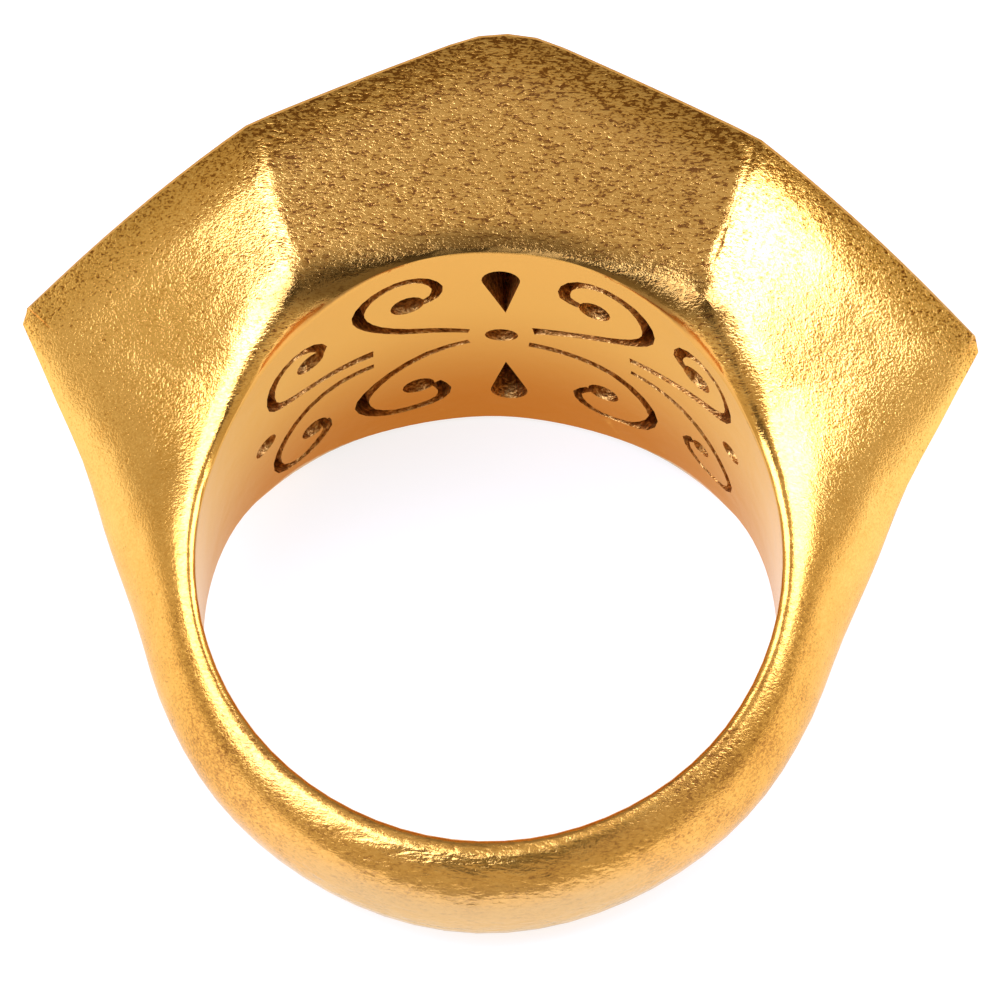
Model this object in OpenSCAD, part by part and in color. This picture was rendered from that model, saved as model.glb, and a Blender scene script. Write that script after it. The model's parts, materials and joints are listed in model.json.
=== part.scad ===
// A micromosaic ring: a satin gold ring with a hexagonal head under a gabled roof,
// a gallery pierced with scrolls between the finger and the hollow head, and a bed
// of small glass tesserae on the roof.
//
// The ring is built standing: the finger hole runs along Y, the head is up and the
// near side faces -Y. Every piece is then laid down on the far side, as it rests.
// A place on the hoop is an angle from the middle of the head, positive towards +X.

/* [Finger hole] */
// Radius of the finger hole
bore_r = 8.5; // [8.4:0.05:8.6]
// Thickness of the pierced gallery between the finger and the hollow head
plate_t = 1; // [0.8:0.05:1.1]

/* [Head] */
// Half the distance between the head's two flat sides
head_half_depth = 5.5; // [5.4:0.05:5.7]
// Distance from the middle to the corners
corner_x = 14.4; // [14.2:0.1:14.8]
// Height of the corners above the hole's axis
corner_z = 8.8; // [8.7:0.05:9]
// Distance from the middle to the creases, along the roof's edge
crease_x = 7.5; // [7.2:0.1:7.8]
// Height of the creases' upper ends above the hole's axis
crease_z = 12.4; // [12.2:0.1:12.6]
// Radius of the rounded ridge
ridge_r = 3.6; // [3.2:0.1:4.2]
// Swell of each slope of the roof between the ridge and its corner
roof_dome = 0.2; // [0:0.05:0.2]
// Swell in plan of the four edges that run to the corners
plan_swell = 0.4; // [0:0.05:0.45]
// Break along the roof's edge
edge_break = 0.15; // [0.1:0.05:0.2]
// Half the width of the soft break along the creases
crease_break = 0.18; // [0.12:0.02:0.24]
// Thickness of the head's walls
wall_t = 0.8; // [0.7:0.05:0.85]
// Thickness of the floor under the mosaic
floor_t = 0.8; // [0.7:0.05:0.9]

/* [Mosaic] */
// Width of the gold lip round the mosaic
lip_w = 0.7; // [0.6:0.05:0.8]
// Thickness of the bed that the tesserae sit in
bed_t = 0.7; // [0.6:0.05:0.8]
// Thickness of the tesserae
tessera_t = 0.5; // [0.4:0.05:0.55]
// Gap between pieces that are set against each other
gap = 0.04; // [0.03:0.01:0.05]
// Length of a border tessera
border_l = 0.75; // [0.7:0.05:0.9]
// Width of a border tessera
border_w = 0.55; // [0.5:0.05:0.6]
// Gap between neighbouring tesserae
joint_w = 0.12; // [0.11:0.01:0.15]
// Number of the rosette's petals
petals = 8; // [6:1:10]
// Radius of the rosette
rosette_r = 2.7; // [2.5:0.1:2.9]

/* [Hidden] */

SATIN_GOLD = "#c8a24a";
BED_GREY = "#8a8378";
BORDER_BLUE = "#21407c";
FIELD_TURQUOISE = "#3f9aa0";
ROSETTE_IVORY = "#e8dfc4";

// Roof: two slopes from the ridge line through the creases to the corners
roof_fall = (crease_z - corner_z) / (corner_x - crease_x);
roof_slope = atan(roof_fall);
roof_peak = crease_z + roof_fall * crease_x;
ridge_x = ridge_r * sin(roof_slope);
roof_run = corner_x - ridge_x;
corner_a = atan2(corner_x, corner_z);
crease_a = atan2(crease_x, crease_z);
// Half angle of the plan's corners, and half the turn of its edge at the creases
corner_half = atan2(head_half_depth + 4 * plan_swell, corner_x - crease_x);
crease_half = atan2(head_half_depth - 4 * plan_swell, corner_x - crease_x) / 2;

// Stations round one half of the hoop, and what their columns hold:
// the angle, the half width of the polished bore, the half width that the flank
// would have at the bore without its rolled rim, the radius of the outer edge past
// the corners, 1 for a flat flank to 2 for an elliptic one, and the rim's roll
ANGLE = 0;
RIM = 1;
FLANK = 2;
KEEL = 3;
FULLNESS = 4;
ROLL = 5;
stations = [
    [0, 5.4, 6.2, 17.5, 1, 0.5],
    [12, 5.38, 6.2, 17.5, 1, 0.6],
    [22, 5.2, 6.2, 17.5, 1, 1],
    [32, 4.8, 6.15, 17.5, 1, 1.5],
    [43, 4.25, 5.5, 19.5, 1.03, 1.5],
    [53, 3.85, 4.65, 18.6, 1.06, 1.1],
    [corner_a, 3.5, 4.1, norm([corner_x, corner_z]), 1.1, 0.9],
    [63.8, 3.24, 3.7, 14.94, 1.15, 0.8],
    [71.9, 2.98, 3.3, 12.84, 1.3, 0.65],
    [83, 2.78, 3.05, 11.39, 1.5, 0.5],
    [96, 2.57, 2.82, 10.41, 1.75, 0.45],
    [111, 2.3, 2.55, 10.14, 1.9, 0.42],
    [127, 2.06, 2.3, 10.13, 2, 0.42],
    [147, 1.9, 2.14, 10.22, 2, 0.42],
    [180, 1.73, 1.97, 10.5, 2, 0.42],
];
function slope_of(c, i) =
    let (a = max(i - 1, 0), b = min(i + 1, len(stations) - 1))
    (i == 0 || i == len(stations) - 1) ? 0
    : (stations[b][c] - stations[a][c]) / (stations[b][ANGLE] - stations[a][ANGLE]);

function span_of(a, i = 0) =
    (i >= len(stations) - 2 || a <= stations[i + 1][ANGLE]) ? i : span_of(a, i + 1);

// Value of one column at any angle, along a smooth curve through the stations
function station(c, a) =
    let (
        i = span_of(a),
        span = stations[i + 1][ANGLE] - stations[i][ANGLE],
        t = (a - stations[i][ANGLE]) / span
    )
    stations[i][c] * (1 + 2 * t) * (1 - t) ^ 2
    + stations[i + 1][c] * t ^ 2 * (3 - 2 * t)
    + slope_of(c, i) * span * t * (1 - t) ^ 2
    + slope_of(c, i + 1) * span * t ^ 2 * (t - 1);

// Slope and height of the roof at a distance from the middle, lowered by a depth
function roof_dip(x) =
    x < ridge_x ? x / sqrt(ridge_r ^ 2 - x ^ 2)
    : roof_fall - 4 * roof_dome * (1 - 2 * (x - ridge_x) / roof_run) / roof_run;

function roof_z(x, depth = 0) =
    let (s = (x - ridge_x) / roof_run)
    (x < ridge_x ? roof_peak - ridge_r / cos(roof_slope) + sqrt(ridge_r ^ 2 - x ^ 2)
        : roof_peak - roof_fall * x + 4 * roof_dome * s * (1 - s))
    - depth * sqrt(1 + roof_dip(x) ^ 2);

// Radius at which a ray from the hole's axis meets the roof, found in a few steps
function roof_r(a, depth = 0, r = 15, steps = 5) =
    steps == 0 ? r
    : let (miss = roof_z(r * sin(a), depth) - r * cos(a))
        roof_r(a, depth, r + miss / (cos(a) + roof_fall * sin(a)), steps - 1);

// Half depth of the head's six-sided plan at a distance from the middle, for the
// plan itself or for one drawn in by the same distance along all its sides
function plan_y(x, inset = 0) =
    let (
        end = corner_x - inset / sin(corner_half),
        bend = crease_x - inset * tan(crease_half),
        t = max(0, min(1, (end - x) / (end - bend)))
    )
    (head_half_depth - inset) * t + 4 * plan_swell * t * (1 - t);

// The outer end of a section: the roof's edge, or the keel past the corners
function outer_r(a) = a < corner_a ? roof_r(a) : station(KEEL, a);
function outer_y(a) = a < corner_a ? plan_y(roof_r(a) * sin(a)) : 0;

// Half width of the flank at a radius, before and after the rim is rolled over
function flank_y(a, r) =
    let (
        t = max(0, min(1, (r - bore_r) / (outer_r(a) - bore_r))),
        p = station(FULLNESS, a),
        y = outer_y(a)
    )
    min(head_half_depth, y + (station(FLANK, a) - y) * (1 - t ^ p) ^ (1 / p));

function rolled_y(a, r) =
    let (s = max(0, min(1, (r - bore_r) / station(ROLL, a))))
    flank_y(a, r)
    - (flank_y(a, bore_r) - station(RIM, a)) * (1 - sqrt(1 - (1 - s) ^ 2));

// Radius of the crease between the flat side and the flank
LEAST_SPREAD = 0.1;
function crease_r(a) =
    let (r = outer_r(a), y = outer_y(a), w = station(FLANK, a))
    a < crease_a ? r : r - (head_half_depth - y) * (r - bore_r) / max(w - y, LEAST_SPREAD);

// Half of a section, as [radius, half width], from inside the bore, where the bore's
// cylinder cuts it away, out over the rim. The crease keeps clear of both ends.
CUT_IN = 0.2;
CREASE_TO_ROOF = 0.6;
CREASE_FROM_RIM = 0.1;
ROLL_STEPS = [0.04, 0.15, 0.33, 0.6, 1];
KEEL_STEPS = [0.3, 0.5, 0.7, 0.85, 0.95, 0.99];
function half_section(a) =
    let (
        roll = station(ROLL, a),
        w = station(RIM, a),
        r1 = bore_r + ROLL_STEPS[0] * roll,
        inside = [bore_r - CUT_IN, w - CUT_IN * (rolled_y(a, r1) - w) / (r1 - bore_r)],
        rim = concat(
            [inside],
            [for (s = ROLL_STEPS) let (r = bore_r + s * roll) [r, rolled_y(a, r)]]
        ),
        r = outer_r(a),
        y = outer_y(a),
        cut = min(edge_break, y / 2),
        low = bore_r + roll,
        c = max(min(crease_r(a), r - CREASE_TO_ROOF), low + CREASE_FROM_RIM * (r - low))
    )
    a < corner_a
    ? concat(rim, [
        [c - crease_break, flank_y(a, c - crease_break)],
        [c + crease_break, flank_y(a, c + crease_break)],
        [(c + r) / 2, flank_y(a, (c + r) / 2)],
        [r - cut, flank_y(a, r - cut)],
        [r, y - cut],
        [r, y / 2]])
    : concat(rim, [for (t = KEEL_STEPS)
        let (k = bore_r + t * (r - bore_r)) [k, flank_y(a, k)]]);

// A point of the standing ring, from its angle, radius and place along the hole
function at(a, r, y) = [r * sin(a), y, r * cos(a)];

// A whole section, from the near rim over the keel to the far rim
function section(a) =
    let (half = half_section(abs(a)), n = len(half))
    concat(
        [for (p = half) at(a, p[0], -p[1])],
        [at(a, outer_r(abs(a)), 0)],
        [for (i = [n - 1:-1:0]) at(a, half[i][0], half[i][1])]
    );

// Triangles between each section of n points and the next
function bands(count, n, closed) = [
    for (i = [0:count - (closed ? 1 : 2)]) for (j = [0:n - 1])
        let (a = i * n, b = ((i + 1) % count) * n, k = (j + 1) % n)
        each [[a + j, b + k, b + j], [a + j, a + k, b + k]]];

module loft(sections, closed = false) {
    n = len(sections[0]);
    last = (len(sections) - 1) * n;
    ends = closed ? [] : [[for (j = [n - 1:-1:0]) j], [for (j = [0:n - 1]) last + j]];
    polyhedron([for (s = sections) each s], concat(bands(len(sections), n, closed), ends));
}

// Angles of the sections: close in the head, with a pair astride each corner
ASTRIDE = 0.8;
half_angles = concat(
    [for (i = [1:10]) crease_a * i / 10],
    [for (i = [1:9]) crease_a + (corner_a - ASTRIDE - crease_a) * i / 9],
    [for (i = [0:9]) corner_a + ASTRIDE + (90 - corner_a) * i / 10],
    [for (a = [90:5:175]) a]
);
angles = concat(
    [0],
    half_angles,
    [180],
    [for (i = [len(half_angles) - 1:-1:0]) -half_angles[i]]
);

// How the ring rests, laid down on its far side: the shank's far edge and the head's
// far flat side touch the floor, and the middle of its outline is over the origin
outer_points = [for (a = angles) each section(a)];
shank_foot_r = bore_r + station(ROLL, 180);
shank_foot = at(180, shank_foot_r, rolled_y(180, shank_foot_r));
rest_tilt = max([for (p = outer_points) let (d = p - shank_foot)
    if (d[2] > bore_r) atan2(d[1], d[2])]);
rest_ys = [for (p = outer_points) p[2] * cos(rest_tilt) + p[1] * sin(rest_tilt)];
rest_zs = [for (p = outer_points) p[2] * sin(rest_tilt) - p[1] * cos(rest_tilt)];
module laid_down() {
    translate([0, -(min(rest_ys) + max(rest_ys)) / 2, -min(rest_zs)])
        rotate([rest_tilt - 90, 0, 0])
            children();
}

// Hollow of the head, between the gallery and the floor under the mosaic. Past the
// creases it ends short of the keel, so that the head keeps its wall there.
HOLLOW_A = 61;
HOLLOW_STEP = 3.05;
HOLLOW_ROOFED = 8;
KEEL_WALL = 0.35;
LEAST_ROW = 0.3;
recess_d = bed_t + tessera_t + 3 * gap;
function hollow_section(a) =
    let (
        b = abs(a),
        low = bore_r + plate_t,
        roofed = roof_r(b, recess_d + floor_t),
        side = outer_r(b) - (wall_t + KEEL_WALL) * (outer_r(b) - bore_r)
            / max(station(FLANK, b) - outer_y(b), LEAST_SPREAD),
        top = b < crease_a + HOLLOW_ROOFED ? roofed : min(roofed, side),
        c = max(low + LEAST_ROW, min(top - LEAST_ROW, crease_r(b))),
        rows = [for (r = [low, c, top]) [r, max(LEAST_ROW, rolled_y(b, r) - wall_t)]]
    )
    concat(
        [for (p = rows) at(a, p[0], -p[1])],
        [for (i = [2:-1:0]) at(a, rows[i][0], rows[i][1])]
    );

module hollow() {
    loft([for (a = [-HOLLOW_A:HOLLOW_STEP:HOLLOW_A + HOLLOW_STEP / 2]) hollow_section(a)]);
}

// Sawn scrolls of the gallery. A row is a point of the stroke's middle line: how far
// it lies from the middle along the bore, how far across it, and the saw cut's width.
ALONG = 0;
ACROSS = 1;
CUT_W = 2;
scrolls = [
    [ // near side, left of the middle
        [-0.92, -0.42, 0.22], [-1.83, -0.7, 0.28], [-2.83, -1.08, 0.3],
        [-3.67, -1.75, 0.3], [-4.17, -2.5, 0.36], [-4.3, -3.17, 0.42],
        [-4, -3.75, 0.36], [-3.42, -4.13, 0.3], [-2.75, -4.25, 0.28],
        [-2.17, -4.03, 0.3], [-1.83, -3.5, 0.34], [-1.95, -2.95, 0.34], [-2.3, -2.7, 0.3]],
    [ // near side, right of the middle
        [1, -0.55, 0.4], [2.17, -0.8, 0.3], [3.33, -1.25, 0.3],
        [4.17, -1.83, 0.34], [4.63, -2.5, 0.42], [4.58, -3.25, 0.45],
        [4.08, -3.92, 0.36], [3.17, -4.3, 0.3], [2.42, -4.2, 0.34],
        [2, -3.75, 0.36], [1.97, -3.13, 0.38], [2.42, -2.83, 0.3]],
    [ // far side, left of the middle
        [-0.92, 0.25, 0.22], [-2.17, 0.7, 0.28], [-3.33, 1.42, 0.3],
        [-4.08, 2.13, 0.4], [-4.33, 2.75, 0.48], [-4.03, 3.5, 0.36],
        [-3.33, 4.03, 0.3], [-2.5, 4.08, 0.3], [-1.87, 3.8, 0.34],
        [-1.7, 3.25, 0.42], [-1.97, 2.72, 0.36]],
    [ // far side, right of the middle
        [0.87, 0.37, 0.28], [2.17, 0.55, 0.26], [3.5, 0.87, 0.28],
        [4.5, 1.58, 0.34], [4.92, 2.42, 0.34], [4.58, 3.3, 0.4],
        [4, 3.72, 0.24], [3.17, 3.83, 0.18], [2.58, 3.5, 0.26],
        [2.37, 2.92, 0.28], [2.75, 2.47, 0.28]],
    [ // near side, outer left
        [-3.87, -0.33, 0.38], [-5, -0.37, 0.3], [-6.17, -0.42, 0.28],
        [-7.08, -0.67, 0.32], [-7.53, -1.17, 0.36], [-7.57, -2, 0.36],
        [-7.25, -2.62, 0.34], [-6.58, -2.95, 0.26], [-5.92, -2.8, 0.34],
        [-5.55, -2.3, 0.36], [-5.75, -1.95, 0.3]],
    [ // near side, outer right
        [4.05, -0.57, 0.28], [5.17, -0.7, 0.3], [6.33, -0.97, 0.34],
        [7.42, -1.37, 0.42], [7.92, -1.95, 0.36], [7.8, -2.67, 0.24],
        [7.33, -3.25, 0.2], [6.5, -3.5, 0.24], [5.92, -3.28, 0.38],
        [5.75, -2.7, 0.36], [6.08, -2.35, 0.3]],
    [ // far side, outer left
        [-3.87, 0.47, 0.24], [-5, 0.5, 0.28], [-6.13, 0.83, 0.28],
        [-7.08, 1.58, 0.3], [-7.53, 2.47, 0.34], [-7.37, 3.3, 0.34],
        [-6.7, 3.72, 0.26], [-6, 3.5, 0.34], [-5.53, 2.92, 0.34], [-5.6, 2.4, 0.3]],
    [ // far side, outer right
        [4.1, 0.17, 0.2], [5.33, 0.3, 0.22], [6.5, 0.67, 0.26],
        [7.58, 1.37, 0.28], [8.2, 2.15, 0.26], [7.97, 2.75, 0.22],
        [7.17, 3, 0.18], [6.47, 2.75, 0.22], [6.17, 2.2, 0.28], [6.45, 1.85, 0.26]],
];
// Round eyes that the scrolls curl into, the middle dot and the two outer dots, as
// along, across, half length and half breadth
eyes = [
    [-2.75, -2.72, 0.52, 0.5], [2.88, -2.78, 0.5, 0.48],
    [-2.5, 2.7, 0.5, 0.42], [3.2, 2.38, 0.5, 0.42],
    [-6, -1.95, 0.5, 0.44], [6.5, -2.33, 0.55, 0.46],
    [-6, 2.42, 0.48, 0.42], [6.8, 1.92, 0.34, 0.3],
    [0.05, -0.13, 0.5, 0.38], [-7.97, 0.8, 0.46, 0.38], [8.17, -0.03, 0.42, 0.34],
];
// The two drops, as the round end's place, its radius and the tip's place
drops = [
    [[0.05, -3.7], 0.57, [0.18, -1.6]],
    [[0.26, 3.55], 0.56, [0.17, 1.65]],
];

// Smooth curve through a stroke's rows, with the same number of steps in each span
STROKE_STEPS = 2;
function curve(rows) =
    let (n = len(rows) - 1)
    concat([for (i = [0:n - 1]) for (s = [0:STROKE_STEPS - 1])
        let (
            t = s / STROKE_STEPS,
            a = rows[max(i - 1, 0)], b = rows[i], c = rows[i + 1], d = rows[min(i + 2, n)]
        )
        b + t / 2 * (c - a) + t ^ 2 / 2 * (2 * a - 5 * b + 4 * c - d)
            + t ^ 3 / 2 * (3 * b - a - 3 * c + d)],
    [rows[n]]);

// A point at a distance along and across the bore, at any radius
function on_bore(along, across, r) = at(along / bore_r * 180 / PI, r, across);

// A stroke sawn through the gallery, square to the bore everywhere
SAW_IN = 0.3;
module stroke(rows) {
    path = curve(rows);
    n = len(path) - 1;
    loft([for (i = [0:n])
        let (
            d = path[min(i + 1, n)] - path[max(i - 1, 0)],
            side = [-d[ACROSS], d[ALONG]] / norm([d[ALONG], d[ACROSS]]) * path[i][CUT_W] / 2,
            p = [path[i][ALONG], path[i][ACROSS]],
            r0 = bore_r - SAW_IN,
            r1 = bore_r + plate_t + SAW_IN
        )
        [on_bore(p[0] + side[0], p[1] + side[1], r0), on_bore(p[0] - side[0], p[1] - side[1], r0),
         on_bore(p[0] - side[0], p[1] - side[1], r1), on_bore(p[0] + side[0], p[1] + side[1], r1)]
    ]);
}

// A hole of any outline, pierced at one place of the gallery
module pierce(along, across) {
    rotate([0, along / bore_r * 180 / PI, 0])
        translate([0, across, bore_r - SAW_IN])
            linear_extrude(plate_t + 2 * SAW_IN)
                children();
}

module eye(e) {
    pierce(e[0], e[1]) polygon([for (a = [0:22.5:359]) [e[2] * cos(a), e[3] * sin(a)]]);
}

module drop(d) {
    tip = d[2] - d[0];
    spread = acos(d[1] / norm(tip));
    aim = atan2(tip[1], tip[0]);
    round_end = [for (i = [0:12])
        let (a = aim + spread + (360 - 2 * spread) * i / 12) d[1] * [cos(a), sin(a)]];
    pierce(d[0][0], d[0][1]) polygon(concat(round_end, [tip]));
}

module piercing() {
    for (s = scrolls) stroke(s);
    for (e = eyes) eye(e);
    for (d = drops) drop(d);
}

// Outline of the roof as seen from the side, lowered by a depth
PAST_CORNER = 1;
roof_xs = concat(
    [for (i = [0:4]) ridge_x * i / 4],
    [for (i = [1:6]) ridge_x + (corner_x + PAST_CORNER - ridge_x) * i / 6]
);
function roof_line(depth) =
    let (n = len(roof_xs) - 1)
    concat(
        [for (i = [n:-1:1]) [-roof_xs[i], roof_z(roof_xs[i], depth)]],
        [for (i = [0:n]) [roof_xs[i], roof_z(roof_xs[i], depth)]]
    );

// Layer between two depths under the roof, right through the head
module roof_layer(top, bottom) {
    lower = roof_line(bottom);
    rotate([90, 0, 0])
        linear_extrude(4 * head_half_depth, center = true)
            polygon(concat(roof_line(top), [for (i = [len(lower) - 1:-1:0]) lower[i]]));
}

// One of the plan's four edges that run from a crease to a corner
PLAN_STEPS = 5;
function plan_edge(inset) =
    let (
        end = corner_x - inset / sin(corner_half),
        bend = crease_x - inset * tan(crease_half)
    )
    [for (i = [0:PLAN_STEPS])
        let (x = bend + (end - bend) * i / PLAN_STEPS) [x, plan_y(x, inset)]];

module head_prism(inset) {
    edge = plan_edge(inset);
    n = PLAN_STEPS;
    linear_extrude(2 * roof_peak)
        polygon(concat(
            edge,
            [for (i = [n - 1:-1:0]) [edge[i][0], -edge[i][1]]],
            [for (i = [0:n]) [-edge[i][0], -edge[i][1]]],
            [for (i = [n - 1:-1:0]) [-edge[i][0], edge[i][1]]]
        ));
}

// Distance along the roof's surface from the ridge line, for a distance in plan
ridge_arc = ridge_r * roof_slope * PI / 180;
function along_roof(x) =
    x < ridge_x ? ridge_r * asin(x / ridge_r) * PI / 180
    : ridge_arc + (x - ridge_x) / cos(roof_slope);
function plan_x(u) =
    u < ridge_arc ? ridge_r * sin(u / ridge_r * 180 / PI)
    : ridge_x + (u - ridge_arc) * cos(roof_slope);

// Puts a piece drawn flat on the roof's surface, at a distance u along it from the
// ridge line, a distance v across it and a depth below it
module on_roof(u, v, depth) {
    x = plan_x(abs(u));
    tilt = atan(roof_dip(x));
    translate([sign(u) * (x - depth * sin(tilt)), v, roof_z(x) - depth * cos(tilt)])
        rotate([0, sign(u) * tilt, 0])
            children();
}

module border_tessera() {
    translate([0, 0, -tessera_t / 2])
        cube([border_l, border_w, tessera_t], center = true);
}

function lengths(path, i = 0, sum = 0) =
    i == len(path) - 1 ? [sum]
    : concat([sum], lengths(path, i + 1, sum + norm(path[i + 1] - path[i])));

// A course of border tesserae centred on a path on the unrolled roof
module course(path, trim_from, trim_to) {
    marks = lengths(path);
    run = marks[len(marks) - 1] - trim_from - trim_to + joint_w;
    n = floor(run / (border_l + joint_w));
    for (i = [0:n - 1]) {
        d = trim_from + (i + 0.5) * run / n - joint_w / 2;
        k = max([for (m = [0:len(marks) - 2]) marks[m] <= d ? m : 0]);
        step = path[k + 1] - path[k];
        p = path[k] + step * (d - marks[k]) / norm(step);
        on_roof(p[0], p[1], gap)
            rotate([0, 0, atan2(step[1], step[0])])
                border_tessera();
    }
}

// Middle line of the border, from the crease to the far corner on the unrolled roof
border_line = [for (p = plan_edge(lip_w + gap + border_w / 2)) [along_roof(p[0]), p[1]]];
border_end = border_line[PLAN_STEPS];
border_bend = border_line[0];
end_half = atan2(border_line[PLAN_STEPS - 1][1],
    border_end[0] - border_line[PLAN_STEPS - 1][0]);

// The kite that closes the border at a far corner
module corner_tessera() {
    reach = border_w / 2 / sin(end_half);
    side = reach * [-cos(2 * end_half), sin(2 * end_half)];
    on_roof(border_end[0], 0, gap)
        translate([0, 0, -tessera_t])
            linear_extrude(tessera_t)
                polygon([[reach - gap, 0], side, [-reach, 0], [side[0], -side[1]]]);
}

// The rosette's round centre, and half the outline of one petal from its point: how
// far out each place is as a share of the rosette's radius, and its breadth as a share
CENTRE_R = 0.6;
PETAL_START = 0.278;
PETAL_MIDDLE = 0.62;
PETAL_SIDE = [[0.435, 0.8], [0.694, 1], [0.907, 0.55]];
module petal() {
    breadth = PETAL_MIDDLE * rosette_r * tan(180 / petals) - joint_w;
    side = [for (p = PETAL_SIDE) [p[0] * rosette_r, p[1] * breadth]];
    polygon(concat(
        [[PETAL_START * rosette_r, 0]],
        [for (p = side) [p[0], -p[1]]],
        [[rosette_r, 0]],
        [for (i = [len(side) - 1:-1:0]) side[i]]
    ));
}

module ring_body() {
    color(SATIN_GOLD) laid_down()
        difference() {
            loft([for (a = angles) section(a)], true);
            rotate([90, 0, 0])
                cylinder(h = 4 * head_half_depth, r = bore_r, center = true, $fn = 180);
            hollow();
            piercing();
            intersection() {
                head_prism(lip_w);
                roof_layer(-1, recess_d);
            }
        }
}

module mosaic_bed() {
    color(BED_GREY) laid_down()
        intersection() {
            head_prism(lip_w + gap);
            roof_layer(2 * gap + tessera_t, 2 * gap + tessera_t + bed_t);
        }
}

module mosaic_border() {
    tip_trim = border_w / tan(end_half) / 2 + joint_w;
    bend_trim = border_w * tan(crease_half) / 2 + joint_w / 2;
    slanted = [for (p = border_line) [p[0], -p[1]]];
    level = [[-border_bend[0], -border_bend[1]], [border_bend[0], -border_bend[1]]];
    color(BORDER_BLUE) laid_down()
        for (turn = [0, 180]) rotate([0, 0, turn]) {
            course(level, bend_trim, bend_trim);
            course(slanted, bend_trim, tip_trim);
            mirror([0, 1, 0]) course(slanted, bend_trim, tip_trim);
            corner_tessera();
        }
}

module mosaic_field() {
    color(FIELD_TURQUOISE) laid_down()
        difference() {
            intersection() {
                head_prism(lip_w + gap + border_w + joint_w);
                roof_layer(gap, gap + tessera_t);
            }
            cylinder(h = 2 * roof_peak, r = rosette_r + joint_w, $fn = 96);
        }
}

module mosaic_rosette() {
    color(ROSETTE_IVORY) laid_down()
        intersection() {
            roof_layer(gap, gap + tessera_t);
            linear_extrude(2 * roof_peak) {
                circle(r = CENTRE_R, $fn = 12);
                for (i = [0:petals - 1]) rotate(i * 360 / petals) petal();
            }
        }
}

ring_body();
mosaic_bed();
mosaic_border();
mosaic_field();
mosaic_rosette();
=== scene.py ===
import json
import random
from math import atan2, cos, hypot, pi, radians, sin, tan, tau

import bmesh
import bpy
from mathutils import Matrix, Vector
from mathutils.bvhtree import BVHTree


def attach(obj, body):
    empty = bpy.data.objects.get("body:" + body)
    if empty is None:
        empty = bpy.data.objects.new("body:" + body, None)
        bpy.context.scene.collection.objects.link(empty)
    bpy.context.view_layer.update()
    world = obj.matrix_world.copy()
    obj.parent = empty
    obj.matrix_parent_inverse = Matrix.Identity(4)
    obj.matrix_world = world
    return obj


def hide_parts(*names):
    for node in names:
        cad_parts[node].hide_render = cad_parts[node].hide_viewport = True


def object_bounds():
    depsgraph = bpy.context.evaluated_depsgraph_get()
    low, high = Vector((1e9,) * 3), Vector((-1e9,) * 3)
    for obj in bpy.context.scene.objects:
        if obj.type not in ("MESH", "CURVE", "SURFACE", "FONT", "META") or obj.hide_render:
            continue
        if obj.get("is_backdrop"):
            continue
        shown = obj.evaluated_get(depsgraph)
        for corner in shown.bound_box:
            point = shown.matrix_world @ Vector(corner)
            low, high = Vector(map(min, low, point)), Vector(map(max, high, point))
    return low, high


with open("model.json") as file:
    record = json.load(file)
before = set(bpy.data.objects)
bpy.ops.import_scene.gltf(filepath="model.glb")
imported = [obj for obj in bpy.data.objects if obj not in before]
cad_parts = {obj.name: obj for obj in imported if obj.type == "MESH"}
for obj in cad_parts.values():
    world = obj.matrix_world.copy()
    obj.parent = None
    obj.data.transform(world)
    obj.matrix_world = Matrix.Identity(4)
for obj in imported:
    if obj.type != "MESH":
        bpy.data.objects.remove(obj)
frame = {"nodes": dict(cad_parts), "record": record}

cad_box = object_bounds()
MM = 0.001

# Camera: it looks at the ring from the shank's side, through the finger hole at the
# gallery under the head. Its place is told from the hole's axis, which points up out
# of the near side, and from the way from the hole's middle to the head.
HOLE = frame["record"]["mounts"][0]
HOLE_MIDDLE = Vector(HOLE["pos_m"])
HOLE_R = HOLE["dims"]["r_mm"] * MM
NEAR_WAY = Vector(HOLE["axis"]).normalized()
HEAD_WAY = Vector((0, NEAR_WAY.z, -NEAR_WAY.y))
SIDE_WAY = Vector((1, 0, 0))

CAMERA_DISTANCE = 200 * MM
CAMERA_LEAN = radians(24.5)
CAMERA_TURN = radians(-1.4)
CAMERA_ROLL = radians(2.3)
CAMERA_LENS = 244.8
CAMERA_CLIP = 10 * MM
AIM_RIGHT = 0.352 * MM
AIM_UP = 2.762 * MM

look = (
    -cos(CAMERA_LEAN) * cos(CAMERA_TURN) * NEAR_WAY
    + cos(CAMERA_LEAN) * sin(CAMERA_TURN) * SIDE_WAY
    + sin(CAMERA_LEAN) * HEAD_WAY
)
level_right = cos(CAMERA_TURN) * SIDE_WAY + sin(CAMERA_TURN) * NEAR_WAY
level_up = level_right.cross(look)
right = cos(CAMERA_ROLL) * level_right + sin(CAMERA_ROLL) * level_up
up = cos(CAMERA_ROLL) * level_up - sin(CAMERA_ROLL) * level_right
eye = HOLE_MIDDLE - CAMERA_DISTANCE * look
aim = HOLE_MIDDLE + AIM_RIGHT * right + AIM_UP * up
sight = (aim - eye).normalized()
right = sight.cross(up).normalized()
up = right.cross(sight)

camera_data = bpy.data.cameras.new("camera")
camera_data.lens = CAMERA_LENS
camera_data.clip_start = CAMERA_CLIP
camera = bpy.data.objects.new("camera", camera_data)
camera.matrix_world = Matrix((
    (right.x, up.x, -sight.x, eye.x),
    (right.y, up.y, -sight.y, eye.y),
    (right.z, up.z, -sight.z, eye.z),
    (0, 0, 0, 1),
))
bpy.context.scene.collection.objects.link(camera)
bpy.context.scene.camera = camera

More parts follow.
